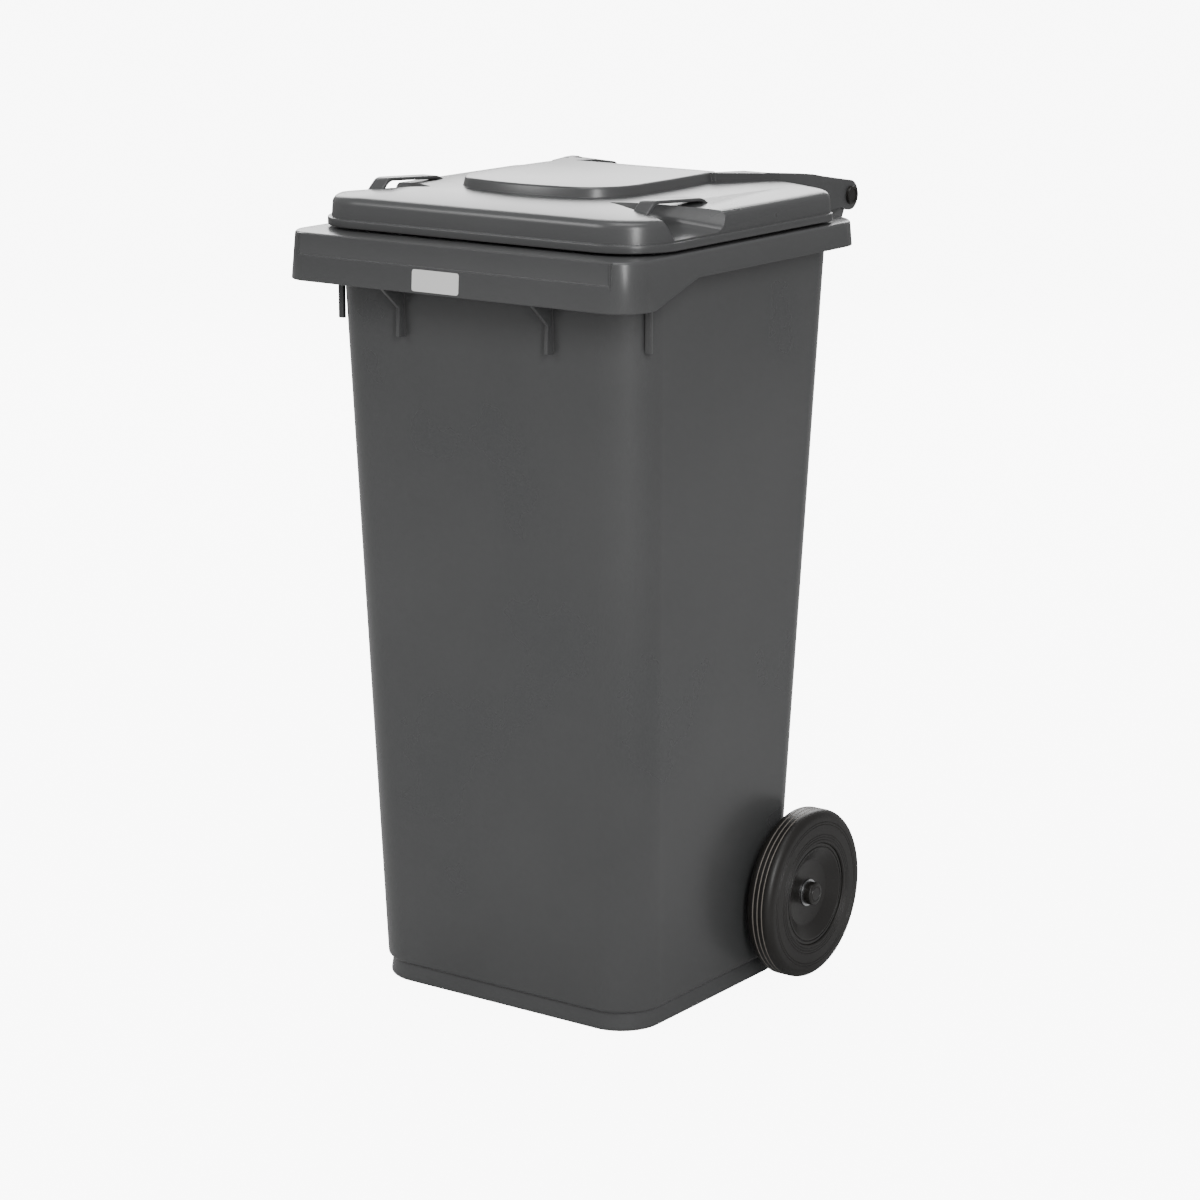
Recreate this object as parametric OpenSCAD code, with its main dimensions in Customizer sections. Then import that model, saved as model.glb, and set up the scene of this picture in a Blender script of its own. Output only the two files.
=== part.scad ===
// Two-wheeled refuse bin of 120 litres: moulded tub with a hinged lid, a steel axle and two wheels.
// The frame's origin is on the floor under the middle of the outline: -Y is the front, +X the right.

/* [Rim] */
// Height of the rim's top face above the floor
rim_h = 885; // [820:1:960]
// Width over the skirt of the rim
rim_w = 480; // [440:1:520]
// Depth over the skirt of the rim
rim_d = 479; // [440:1:520]
// Corner radius of the rim at the front
rim_front_r = 37; // [25:1:50]
// Corner radius of the rim at the rear
rim_rear_r = 60; // [40:1:65]
// Outward flare of the skirt from its top to its lower edge
skirt_flare = 3.5; // [1:0.5:6]
// Depth of the skirt across the front
front_skirt_h = 54; // [40:1:70]
// Depth of the skirt along the sides and the rear
side_skirt_h = 28; // [18:1:34]
// Length of the slope that joins the two skirt depths
skirt_slope_l = 85; // [50:1:110]
// Distance from the front to the start of that slope
skirt_slope_y = 8; // [0:1:30]
// Wall thickness of the skirt and the rim plate
skirt_t = 3.5; // [2.5:0.5:5]
// Depth of the sunk band across the upper front skirt
band_depth = 2; // [1:0.5:2.5]
// Height of the sunk band
band_h = 25; // [15:1:30]

/* [Tub] */
// Width of the tub at the floor
tub_base_w = 378; // [350:1:400]
// Width of the tub under the rim
tub_top_w = 428; // [400:1:440]
// Depth of the tub at the floor
tub_base_d = 317; // [290:1:340]
// Depth of the tub under the rim
tub_top_d = 404.5; // [380:0.5:415]
// Distance from the front of the rim to the front of the tub at the floor
tub_base_setback = 81.5; // [70:0.5:95]
// Distance from the front of the rim to the front of the tub under the rim
tub_top_setback = 47; // [40:1:55]
// Corner radius of the tub at the front
tub_r = 54; // [35:1:70]
// Corner radius of the tub at the rear
tub_rear_r = 40; // [30:1:54]
// Width of the ledge between the mouth and the tub's rear
ledge_w = 28; // [20:1:36]
// Height of the foot band
foot_h = 22; // [12:1:30]
// How far the foot band is set in
foot_inset = 4.5; // [2:0.5:8]
// How far the tub's rear is set forward below the alcove's roof
rear_step = 15; // [8:1:20]
// Wall thickness of the tub
wall = 4; // [3:0.5:5]
// Thickness of the tub's floor
floor_t = 6; // [4:0.5:8]

/* [Ribs] */
// Distance of the front ribs from the middle
front_rib_x = 102; // [80:1:120]
// Distance of the side ribs behind the front of the rim
side_rib_y = 76.5; // [60:0.5:90]
// Thickness of a rib
rib_t = 4.4; // [3:0.2:6]
// How far a front rib stands out of the tub
rib_depth = 11; // [6:1:14]
// How far a side rib stands out of the tub
side_rib_depth = 4; // [2:0.5:8]
// Height from the rim's top face down to a front rib's lower end
rib_l = 113; // [90:1:140]
// Height from the rim's top face down to a side rib's lower end
side_rib_l = 105; // [90:1:130]

/* [Lid] */
// Gap between the rim and the closed lid
lid_gap = 3; // [0.5:0.1:4]
// How far the lid stays back from the rim at the sides
lid_side_inset = 8; // [4:0.5:12]
// How far the lid stays back from the front of the rim
lid_front_inset = 37.5; // [30:0.5:45]
// How far the lid stays back from the rear of the rim
lid_rear_inset = 47; // [42:0.5:50]
// Height of the lid's lower flange
lid_flange_h = 9; // [6:0.5:12]
// Step from the flange to the lid's wall
lid_step = 3; // [2:0.5:5]
// Height of the lid's upper edge above the rim
lid_edge_h = 35; // [28:0.5:38]
// Height of the lid's crown above the rim
lid_crown_h = 45; // [41:0.5:49]
// Wall thickness of the lid
lid_t = 3.5; // [2.5:0.5:4]
// Width of the raised panel
panel_w = 224; // [180:1:240]
// Height of the raised panel above the rim
panel_h = 56; // [52:0.5:62]
// Distance from the lid's front edge to the panel's front corners
panel_setback = 110; // [95:1:130]
// How far the panel's front edge bows forwards
panel_bow = 24; // [10:1:34]
// Length of the panel's sides
panel_l = 209; // [150:1:240]

/* [Lid grips] */
// Distance from the lid's front edge to a grip's pocket
pocket_setback = 36; // [30:1:50]
// Length of the pocket along the lid's edge
pocket_l = 128; // [100:1:140]
// Distance from the lid's side to the pocket's inner tip
pocket_w = 118; // [100:1:120]
// Height of the pocket's floor above the rim
pocket_floor_h = 13; // [12.5:0.5:17]
// Height of the pocket's inner tip above the rim
pocket_tip_h = 35; // [24:1:38]
// Distance of a grip's outer face from the lid's side edge
grip_inset = 27; // [20:1:32]
// Width of a grip
grip_w = 18; // [14:1:22]
// Length of a grip
grip_l = 139; // [125:1:145]
// Thickness of a grip
grip_t = 4; // [3:0.5:6]
// Height of a grip above the rim at the front
grip_h = 52; // [48:0.5:56]
// How much lower a grip is at the rear
grip_fall = 5.5; // [0:0.5:8]

/* [Hinge] */
// Distance of the hinge axis behind the rim
hinge_back = 58.5; // [54:0.5:70]
// Height of the hinge axis above the rim
hinge_up = 16; // [12:0.5:20]
// Radius of the lid's hinge eye
eye_r = 17.5; // [16:0.5:20]
// Distance of the eyes' outer faces from the middle
eye_x = 175; // [165:1:185]
// Thickness of a hinge eye
eye_t = 8.5; // [6:0.5:12]
// Wall thickness of a hinge arm
arm_t = 4; // [3:0.5:5]
// Height of the arm's ridge above the rim at its kink
arm_ridge_h = 48; // [44:0.5:52]
// Height of the arm's ridge above the rim where it meets the panel
arm_front_h = 56; // [52:0.5:60]
// Distance of the ridge's kink in front of the hinge axis
arm_kink_y = 74; // [66:1:84]
// Gap between an eye and the body's lug
lug_gap = 1.5; // [0.5:0.1:3]
// Width of the body's hinge lug
lug_w = 28; // [22:1:34]
// Radius of the handle bar
bar_r = 13.5; // [11:0.5:15]
// Radius of the hinge sleeve's shank
sleeve_r = 8.5; // [7:0.1:9.5]
// Radius of the hinge sleeve's head
sleeve_head_r = 10.6; // [10:0.1:12]
// Height of the hinge sleeve's head
sleeve_head_h = 4.5; // [3:0.5:6]
// Length of the sleeve inside the lug
sleeve_grip_l = 24; // [16:1:28]
// Radius of the locking plug
plug_r = 5; // [3.5:0.1:6]

/* [Axle and wheels] */
// Radius of the steel axle
axle_r = 10; // [8:0.5:12]
// Distance of the axle in front of the tub's rear face at the floor
axle_inset = 16.5; // [10:0.5:22]
// Diameter of a wheel
wheel_d = 200; // [180:1:250]
// Width of a tyre
tyre_w = 35; // [30:1:42]
// Distance of a tyre's outer face from the middle
track_x = 240; // [236:1:246]
// Inner diameter of the tyre
tyre_seat_d = 122; // [110:1:140]
// Radius of the tyre's shoulders
tyre_shoulder_r = 9.5; // [5:0.5:12]
// Wall thickness of the hub's ring
hub_ring_t = 8; // [5:0.5:10]
// Radius of the hub's boss
hub_boss_r = 17; // [15:0.5:20]
// Thickness of the hub's disc
hub_disc_t = 5; // [3:0.5:8]
// Depth of the hub's disc behind the tyre's outer face
hub_disc_inset = 12; // [10:0.5:16]
// Number of the hub's spokes
spokes = 6; // [5:1:10]
// Thickness of a spoke
spoke_t = 4; // [3:0.5:5]
// Radius of the boss that carries the axle in the tub
carrier_r = 20; // [17:0.5:24]
// Distance from the axle to the alcove's front wall
alcove_front = 27; // [24:1:32]
// Height of the alcove's roof above the axle
alcove_up = 70; // [45:1:80]
// Width of each cheek beside the alcove
cheek_w = 34; // [26:1:40]
// Outer radius of the push nut
push_nut_r = 11.7; // [11:0.1:12]
// Outer radius of the cap over the axle's end
cap_r = 13.5; // [13:0.1:15]
// Wall thickness of the cap
cap_t = 1.6; // [1.2:0.1:2]

/* [Label] */
// Width of the label
label_w = 64; // [40:1:90]
// Height of the label
label_h = 24; // [16:1:26]
// Thickness of the label
label_t = 0.4; // [0.2:0.1:0.6]
// Distance of the label's middle to the left of the skirt's middle
label_x = 17; // [0:1:40]

/* [Clearances] */
// Radial clearance of a part that turns on a shaft
run_clear = 0.06; // [0.02:0.01:0.1]
// Gap between faces that turn past each other
face_clear = 0.4; // [0.2:0.1:1]
// Radial clearance round the axle where it passes through the tub
axle_clear = 0.05; // [0.02:0.01:0.1]

/* [Hidden] */

eps = 0.5;                                        // how far a cut runs past a face
round_fn = 64;                                    // facets asked of a round part, which is rebuilt exact
hull_fn = 32;                                     // facets of a circle inside a hull
plastic = [0.30, 0.31, 0.31];
black = [0.07, 0.07, 0.07];
steel = [0.72, 0.73, 0.74];

front_y = -(rim_d + hinge_back + eye_r) / 2;      // outer face of the front skirt at its lower edge
rear_y = front_y + rim_d;                         // outer face of the rear skirt
top_front_y = front_y + skirt_flare;
top_half_w = rim_w / 2 - skirt_flare;
top_rear_y = rear_y - skirt_flare;
mouth_half_w = tub_top_w / 2 - wall;
tub_front_y = front_y + tub_top_setback;
tub_rear_y = tub_front_y + tub_top_d;
base_front_y = front_y + tub_base_setback;
base_rear_y = base_front_y + tub_base_d;
mouth_rear_y = tub_rear_y - ledge_w;
low_rear_y = base_rear_y - rear_step;             // rear of the tub below the alcove's roof

hinge_y = rear_y + hinge_back;
hinge_z = rim_h + hinge_up;
eye_in_x = eye_x - eye_t;
lug_x = eye_in_x - lug_gap;                       // outer face of the lug
bar_half_l = lug_x - eps;

axle_y = base_rear_y - axle_inset;
axle_z = wheel_d / 2;
alcove_y = axle_y - alcove_front;
alcove_z = axle_z + alcove_up;
carrier_x = tub_base_w / 2 + 5;                   // face of the carrier's seat for the spacer
alcove_half_w = tub_base_w / 2 - cheek_w;
hub_in_x = track_x - tyre_w + 2;
hub_disc_x = track_x - hub_disc_inset;
washer_t = 1.5;
push_nut_t = 1.2;
axle_half_l = track_x - cap_t - 2.4;

lid_z = rim_h + lid_gap;
lid_half_w = rim_w / 2 - lid_side_inset;
lid_front_y = front_y + lid_front_inset;
lid_rear_y = rear_y - lid_rear_inset;
lid_front_r = 64;
lid_rear_r = 55;
wall_lean = 4;                                    // how far the lid's wall leans in from flange to edge
front_lean = 5;                                   // the same at the front
pocket_front_y = lid_front_y + pocket_setback;
pocket_z = rim_h + pocket_floor_h;
pocket_front_slope = 16;                          // slope of the pocket's front end, along the lid
pocket_rear_slope = 24;
pocket_tip_y = pocket_front_y + 76;
grip_out_x = lid_half_w - grip_inset;
panel_corner_y = lid_front_y + panel_setback;
panel_rear_y = panel_corner_y + panel_l;
shoulder_y = panel_rear_y - 12;
kink_y = hinge_y - arm_kink_y;
panel_r = (pow(panel_w / 2, 2) + pow(panel_bow, 2)) / (2 * panel_bow);

// A rectangle with rounded corners, r1 at the front and r2 at the rear.
module round_rect(half_w, y1, y2, r1, r2) {
    translate([-half_w + r1, y1]) square([2 * (half_w - r1), r1 + 1]);
    translate([-half_w, y1 + r1]) square([2 * half_w, y2 - r2 - y1 - r1]);
    translate([-half_w + r2, y2 - r2 - 1]) square([2 * (half_w - r2), r2 + 1]);
    for (side = [-1, 1]) {
        translate([side * (half_w - r1), y1 + r1]) circle(r = r1, $fn = round_fn);
        translate([side * (half_w - r2), y2 - r2]) circle(r = r2, $fn = round_fn);
    }
}

// A thin slab of that outline, for the ends of a hull.
module slab(z, half_w, y1, y2, r1, r2) {
    translate([0, 0, z]) linear_extrude(0.01) {
        for (side = [-1, 1]) {
            translate([side * (half_w - r1), y1 + r1]) circle(r = r1, $fn = hull_fn);
            translate([side * (half_w - r2), y2 - r2]) circle(r = r2, $fn = hull_fn);
        }
    }
}

// A round bar along X from x1 to x2 at a place in the YZ plane.
module bar_x(x1, x2, r, y, z) {
    translate([min(x1, x2), y, z]) rotate([0, 90, 0]) cylinder(r = r, h = abs(x2 - x1), $fn = round_fn);
}

// A plate cut to a side outline of [y, z] points, from x1 to x2.
module side_plate(x1, x2, points) {
    translate([min(x1, x2), 0, 0]) rotate([90, 0, 90]) linear_extrude(abs(x2 - x1)) polygon(points);
}

// The tub's outer form, or its inner form when inset by the wall.
module tub_form(inset, z1) {
    hull() {
        slab(z1, tub_base_w / 2 - inset, base_front_y + inset, base_rear_y - inset, tub_r - inset,
             tub_rear_r - inset);
        slab(rim_h - 0.01, tub_top_w / 2 - inset, tub_front_y + inset, tub_rear_y - inset, tub_r - inset,
             tub_rear_r - inset);
    }
}

// The rim's skirt as a solid, flared outwards towards its lower edge.
module skirt_form(inset, top) {
    hull() {
        slab(top, top_half_w - inset, top_front_y + inset, top_rear_y - inset, rim_front_r - inset,
             rim_rear_r - inset);
        slab(rim_h - front_skirt_h - (inset > 0 ? eps : 0), rim_w / 2 - inset, front_y + inset, rear_y - inset,
             rim_front_r - inset, rim_rear_r - inset);
    }
}

module rim() {
    band_y = front_y + skirt_flare * (1 - band_h / front_skirt_h) + band_depth;
    // The band's face is as thick as the skirt.
    translate([-top_half_w + rim_front_r, band_y, rim_h - band_h - skirt_t])
        cube([2 * (top_half_w - rim_front_r), skirt_t, band_h]);
    difference() {
        skirt_form(0, rim_h - 0.01);
        skirt_form(skirt_t, rim_h - skirt_t);
        // The skirt is shallower along the sides and the rear.
        side_plate(-rim_w, rim_w, [[front_y + rim_front_r + skirt_slope_y, rim_h - front_skirt_h - eps],
            [front_y + rim_front_r + skirt_slope_y + skirt_slope_l, rim_h - side_skirt_h],
            [rear_y + eps, rim_h - side_skirt_h], [rear_y + eps, rim_h - front_skirt_h - 2 * eps],
            [front_y + rim_front_r, rim_h - front_skirt_h - 2 * eps]]);
        // The sunk band across the upper front.
        translate([-top_half_w + rim_front_r, front_y - eps, rim_h - band_h])
            cube([2 * (top_half_w - rim_front_r), band_y - front_y + eps, band_h + eps]);
        translate([0, 0, rim_h - skirt_t - 1]) linear_extrude(skirt_t + 2)
            round_rect(mouth_half_w, tub_front_y + wall, mouth_rear_y, tub_r - wall, tub_rear_r - wall);
    }
}

// The tub's outline at the floor, set in.
module base_outline(inset) {
    round_rect(tub_base_w / 2 - inset, base_front_y + inset, base_rear_y - inset, tub_r - inset,
               tub_rear_r - inset);
}

// One upright rib on the tub's wall; outward is +Y before it is turned to its wall.
module rib(length, depth, reach) {
    translate([-rib_t / 2, 0, 0]) rotate([90, 0, 90]) linear_extrude(rib_t)
        polygon([[-wall + 1, rim_h - length], [depth, rim_h - length], [depth, rim_h - 80],
                 [reach, rim_h - front_skirt_h + 6], [reach, rim_h - 2], [-wall + 1, rim_h - 2]]);
}

module ribs() {
    lean = (tub_base_setback - tub_top_setback) / rim_h;
    rib_wall_y = tub_front_y + lean * rib_l;
    for (side = [-1, 1]) {
        translate([side * front_rib_x, rib_wall_y, 0]) mirror([0, 1, 0])
            rib(rib_l, rib_depth, rib_wall_y - top_front_y - skirt_t - band_depth + 1);
        rib_wall_x = tub_top_w / 2 - (tub_top_w - tub_base_w) / 2 / rim_h * side_rib_l;
        translate([side * rib_wall_x, front_y + side_rib_y, 0]) rotate([0, 0, -side * 90])
            rib(side_rib_l, side_rib_depth, top_half_w - rib_wall_x - skirt_t + 1);
    }
}

// Lug behind the rim that carries the handle bar and the hinge.
module lug(side) {
    side_plate(side * (lug_x - lug_w), side * lug_x, [[rear_y - 20, rim_h - skirt_t], [rear_y - 20, rim_h - 16],
        [rear_y - 3, rim_h - side_skirt_h], [hinge_y - 8, rim_h - side_skirt_h + 4],
        [hinge_y + bar_r - 1, hinge_z - 8], [hinge_y - 4, hinge_z + bar_r - 1], [hinge_y - bar_r, hinge_z + 5],
        [rear_y - 4, rim_h - 0.01]]);
    bar_x(side * (lug_x - lug_w), side * lug_x, bar_r, hinge_y, hinge_z);
}

// Boss in the tub's lower rear corner that the axle passes through, with two webs up to the alcove's roof.
module carrier(side) {
    bar_x(side * (alcove_half_w - 2), side * carrier_x, carrier_r, axle_y, axle_z);
    for (x = [alcove_half_w - 2, carrier_x - 12])
        side_plate(side * x, side * (x + 5), [[alcove_y - 2, axle_z - carrier_r], [axle_y, axle_z - carrier_r + 2],
            [axle_y + carrier_r - 2, axle_z], [axle_y + 6, alcove_z + 3], [alcove_y - 2, alcove_z + 3]]);
}

module body() {
    color(plastic) difference() {
        union() {
            difference() {
                tub_form(0, 0);
                difference() {
                    union() {
                        tub_form(wall, foot_h + wall);
                        translate([0, 0, floor_t]) linear_extrude(foot_h + wall - floor_t + 0.01)
                            base_outline(foot_inset + wall);
                    }
                    // The floor steps up over the axle.
                    translate([-rim_w / 2, alcove_y - wall, 0])
                        cube([rim_w, rim_d, alcove_z + wall]);
                }
                // The foot band is set in all round.
                translate([0, 0, -eps]) linear_extrude(foot_h + eps) difference() {
                    base_outline(-10);
                    base_outline(foot_inset);
                }
                // The alcove between the cheeks, and the lower rear set forward of the upper rear.
                translate([-alcove_half_w, alcove_y, -eps])
                    cube([2 * alcove_half_w, rim_d, alcove_z + eps]);
                translate([-rim_w / 2, low_rear_y, -eps])
                    cube([rim_w, rim_d, alcove_z + eps]);
                translate([0, 0, rim_h - skirt_t]) linear_extrude(skirt_t + 1)
                    round_rect(mouth_half_w, tub_front_y + wall, mouth_rear_y, tub_r - wall, tub_rear_r - wall);
            }
            rim();
            ribs();
            for (side = [-1, 1]) {
                lug(side);
                carrier(side);
            }
            bar_x(-lug_x + lug_w / 2, lug_x - lug_w / 2, bar_r, hinge_y, hinge_z);
        }
        for (side = [-1, 1]) {
            bar_x(side * (alcove_half_w - 3), side * (carrier_x + 1), axle_r + axle_clear, axle_y, axle_z);
            bar_x(side * (lug_x - sleeve_grip_l), side * (lug_x + 1), sleeve_r, hinge_y, hinge_z);
        }
    }
}

// The lid's outer shell form above the flange, or its inner form when inset by the wall.
module lid_form(inset, z1) {
    hull() {
        slab(z1, lid_half_w - lid_step - inset, lid_front_y + lid_step + inset, lid_rear_y - inset,
             lid_front_r - inset, lid_rear_r - inset);
        slab(rim_h + lid_edge_h - inset, lid_half_w - wall_lean - inset, lid_front_y + front_lean + inset,
             lid_rear_y - inset, lid_front_r - inset, lid_rear_r - inset);
        slab(rim_h + lid_crown_h - inset, panel_w / 2 + 8 - inset, panel_corner_y - panel_bow + inset,
             lid_rear_y - 8 - inset, lid_front_r - inset, lid_rear_r - inset);
    }
}

// The panel's outline: straight sides and an arc at the front.
module panel_outline(inset) {
    intersection() {
        translate([-panel_w / 2 + inset, panel_corner_y - panel_bow - 1])
            square([panel_w - 2 * inset, panel_l + panel_bow + 1 - inset]);
        translate([0, panel_corner_y - panel_bow + panel_r]) circle(r = panel_r - inset, $fn = 4 * round_fn);
    }
}

// Side outline of a shoulder and arm: [y, z] points of the ridge, closed along its underside.
function arm_side(y1, z_low, inset) = [[y1, z_low], [y1, rim_h + arm_front_h - inset],
    [hinge_y - arm_kink_y, rim_h + arm_ridge_h - inset], [hinge_y - 2, hinge_z + eye_r - 0.2 - inset],
    [hinge_y, hinge_z], [hinge_y - 4, max(z_low, hinge_z - eye_r + 0.6)], [hinge_y - eye_r, z_low]];

// Distance of the arm's outer face from the middle where it crosses the lid's rear edge
function arm_x(y) = panel_w / 2 + 3 + (y - shoulder_y) * (eye_x - panel_w / 2 - 6) / (kink_y - shoulder_y);

// The raised shoulder on the lid that leads from the panel's rear corner to an arm.
module shoulder(side, inset) {
    intersection() {
        side_plate(-eye_x, eye_x, arm_side(shoulder_y + inset, rim_h + 20, inset));
        linear_extrude(2 * rim_h) polygon([for (p = [[panel_w / 2 - 8 + inset, shoulder_y - 1],
            [arm_x(shoulder_y) - 1.3 * inset, shoulder_y - 1], [arm_x(lid_rear_y) - 1.3 * inset, lid_rear_y - inset],
            [panel_w / 2 - 8 + inset, lid_rear_y - inset]]) [side * p[0], p[1]]]);
    }
}

// The arm behind the lid, a plate that bends out to the hinge and ends in an eye.
module arm(side) {
    intersection() {
        side_plate(-eye_x, eye_x, arm_side(lid_rear_y - 12, lid_z, 0));
        linear_extrude(2 * rim_h) polygon([for (p = [[arm_x(lid_rear_y - 12), lid_rear_y - 12],
            [eye_x - 3, kink_y], [eye_x, kink_y + 10], [eye_x, hinge_y + eye_r], [eye_in_x, hinge_y + eye_r],
            [eye_in_x, kink_y + 14], [eye_in_x - 3, kink_y + 4], [arm_x(lid_rear_y - 12) - eye_t, lid_rear_y - 12]])
                [side * p[0], p[1]]]);
    }
    bar_x(side * eye_in_x, side * eye_x, eye_r, hinge_y, hinge_z);
}

// The triangular pocket that is scooped out of the lid's side: its floor rises inwards to a tip.
module pocket(side, grow) {
    y1 = pocket_front_y - grow;
    y2 = pocket_front_y + pocket_l + grow;
    floor_z = pocket_z - grow;
    top_z = rim_h + panel_h;
    tip_x = lid_half_w - pocket_w - 1.5 * grow;
    hull() {
        side_plate(side * (lid_half_w + 1), side * (lid_half_w + 1.01), [[y1, rim_h + lid_edge_h],
            [y1 + pocket_front_slope, floor_z], [y2 - pocket_rear_slope, floor_z], [y2, rim_h + lid_edge_h],
            [y2, top_z], [y1, top_z]]);
        side_plate(side * tip_x, side * (tip_x + 0.01), [[pocket_tip_y - 1, rim_h + pocket_tip_h - grow],
            [pocket_tip_y + 1, rim_h + pocket_tip_h - grow], [pocket_tip_y + 1, top_z], [pocket_tip_y - 1, top_z]]);
    }
}

// A strap grip that bridges the pocket.
module grip(side) {
    y1 = pocket_front_y + 18;
    y2 = y1 + grip_l;
    z1 = rim_h + lid_edge_h - 2;
    z2 = rim_h + grip_h;
    z3 = z2 - grip_fall;
    side_plate(side * (grip_out_x - grip_w), side * grip_out_x, [[y1, z1], [y1 + 22, z2], [y2 - 25, z3], [y2, z1],
        [y2 - grip_t - 3, z1], [y2 - 25 - grip_t / 2, z3 - grip_t], [y1 + 22 + grip_t / 2, z2 - grip_t],
        [y1 + grip_t + 3, z1]]);
}

// The lid without its panel and arms, filled solid.
module lid_solid() {
    lid_form(0, lid_z + lid_flange_h - 0.01);
    translate([0, 0, lid_z]) linear_extrude(lid_flange_h)
        round_rect(lid_half_w, lid_front_y, lid_rear_y, lid_front_r, lid_rear_r);
}

module lid_shell() {
    difference() {
        union() {
            difference() {
                union() {
                    lid_solid();
                    translate([0, 0, rim_h + lid_edge_h]) linear_extrude(panel_h - lid_edge_h)
                        panel_outline(0);
                    for (side = [-1, 1]) shoulder(side, 0);
                }
                lid_form(lid_t, lid_z + lid_flange_h - 0.02);
                translate([0, 0, lid_z - eps]) linear_extrude(lid_flange_h + eps)
                    round_rect(lid_half_w - lid_step - lid_t, lid_front_y + lid_step + lid_t, lid_rear_y - lid_t,
                               lid_front_r - lid_step - lid_t, lid_rear_r - lid_t);
                translate([0, 0, rim_h + lid_edge_h - lid_t - 1])
                    linear_extrude(panel_h - lid_edge_h + 1) panel_outline(lid_t);
                for (side = [-1, 1]) shoulder(side, lid_t);
            }
            // The pockets' floors and walls close the lid under the grips.
            intersection() {
                lid_solid();
                for (side = [-1, 1]) pocket(side, lid_t);
            }
            for (side = [-1, 1]) arm(side);
        }
        for (side = [-1, 1]) {
            pocket(side, 0);
            bar_x(side * (eye_in_x - 1), side * (eye_x + 1), sleeve_r + run_clear, hinge_y, hinge_z);
        }
    }
}

module lid() {
    color(plastic) {
        lid_shell();
        for (side = [-1, 1]) grip(side);
    }
}

// Bush with a flanged head that is pushed through the lid's eye into the body's lug.
module hinge_sleeve(side) {
    bush_l = sleeve_grip_l + lug_gap + eye_t;
    color(black) difference() {
        union() {
            bar_x(side * (eye_x + face_clear - bush_l), side * (eye_x + face_clear), sleeve_r, hinge_y, hinge_z);
            bar_x(side * (eye_x + face_clear), side * (eye_x + sleeve_head_h), sleeve_head_r, hinge_y, hinge_z);
        }
        bar_x(side * (eye_x - bush_l), side * (eye_x + sleeve_head_h + 1), plug_r, hinge_y, hinge_z);
        bar_x(side * (eye_x + sleeve_head_h - 2.5), side * (eye_x + sleeve_head_h + 1), plug_r + 2.5, hinge_y,
              hinge_z);
    }
}

// Plug that spreads and locks the sleeve.
module hinge_plug(side) {
    color(black) {
        bar_x(side * (eye_x - eye_t - lug_gap - 18), side * (eye_x + sleeve_head_h - 2.5), plug_r, hinge_y,
              hinge_z);
        bar_x(side * (eye_x + sleeve_head_h - 2.5), side * (eye_x + sleeve_head_h - 1), plug_r + 2.3, hinge_y,
              hinge_z);
    }
}

module axle() {
    color(steel) bar_x(-axle_half_l, axle_half_l, axle_r, axle_y, axle_z);
}

// A flat ring on the axle.
module axle_ring(side, x1, x2, r_in, r_out) {
    difference() {
        bar_x(side * x1, side * x2, r_out, axle_y, axle_z);
        bar_x(side * (x1 - 1), side * (x2 + 1), r_in, axle_y, axle_z);
    }
}

// Plastic tube that keeps the wheel clear of the tub.
module axle_spacer(side) {
    color(black) axle_ring(side, carrier_x, hub_in_x - face_clear, axle_r + axle_clear, axle_r + 4);
}

module wheel_hub(side) {
    ring_r = tyre_seat_d / 2;
    ring_x = track_x - 2;
    color(black) difference() {
        union() {
            difference() {
                bar_x(side * hub_in_x, side * ring_x, ring_r, axle_y, axle_z);
                bar_x(side * (hub_in_x - 1), side * (ring_x + 1), ring_r - hub_ring_t, axle_y, axle_z);
            }
            bar_x(side * (hub_disc_x - hub_disc_t), side * hub_disc_x, ring_r - 1, axle_y, axle_z);
            bar_x(side * hub_in_x, side * hub_disc_x, hub_boss_r, axle_y, axle_z);
            for (i = [0 : spokes - 1])
                translate([side * (hub_in_x + 3), axle_y, axle_z]) rotate([i * 360 / spokes, 0, 0])
                    translate([side > 0 ? 0 : -(hub_disc_x - hub_in_x - 4), -spoke_t / 2, hub_boss_r - 2])
                        cube([hub_disc_x - hub_in_x - 4, spoke_t, ring_r - hub_boss_r - hub_ring_t + 4]);
        }
        bar_x(side * (hub_in_x - 1), side * track_x, axle_r + run_clear, axle_y, axle_z);
    }
}

// Rubber tyre with rounded shoulders, turned about the axle.
module tyre(side) {
    tread_r = wheel_d / 2;
    seat_r = tyre_seat_d / 2;
    s = tyre_shoulder_r;
    color(black) translate([side > 0 ? track_x - tyre_w : -track_x, axle_y, axle_z]) rotate([0, 90, 0])
        rotate_extrude($fn = 2 * round_fn) {
            translate([seat_r, 0]) square([tread_r - seat_r - s, tyre_w]);
            translate([seat_r, s]) square([tread_r - seat_r, tyre_w - 2 * s]);
            for (x = [s, tyre_w - s]) translate([tread_r - s, x]) circle(r = s, $fn = round_fn);
        }
}

module axle_washer(side) {
    x1 = hub_disc_x + face_clear;
    color(steel) axle_ring(side, x1, x1 + washer_t, axle_r + axle_clear, hub_boss_r - 1);
}

module push_nut(side) {
    x1 = hub_disc_x + face_clear + washer_t;
    color(steel) axle_ring(side, x1, x1 + push_nut_t, axle_r, push_nut_r);
}

// Cap over the axle's end and its push nut.
module axle_cap(side) {
    x1 = hub_disc_x + face_clear + washer_t;
    color(black) difference() {
        bar_x(side * x1, side * track_x, cap_r, axle_y, axle_z);
        bar_x(side * (x1 - 1), side * (track_x - cap_t), push_nut_r, axle_y, axle_z);
    }
}

// Paper label on the front skirt, under the sunk band.
module label() {
    lean = atan(skirt_flare / front_skirt_h);
    color("white") translate([-label_x, front_y, rim_h - front_skirt_h]) rotate([-lean, 0, 0])
        translate([-label_w / 2, -label_t - 0.02, (front_skirt_h - band_h - label_h) / 2])
            cube([label_w, label_t, label_h]);
}

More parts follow.
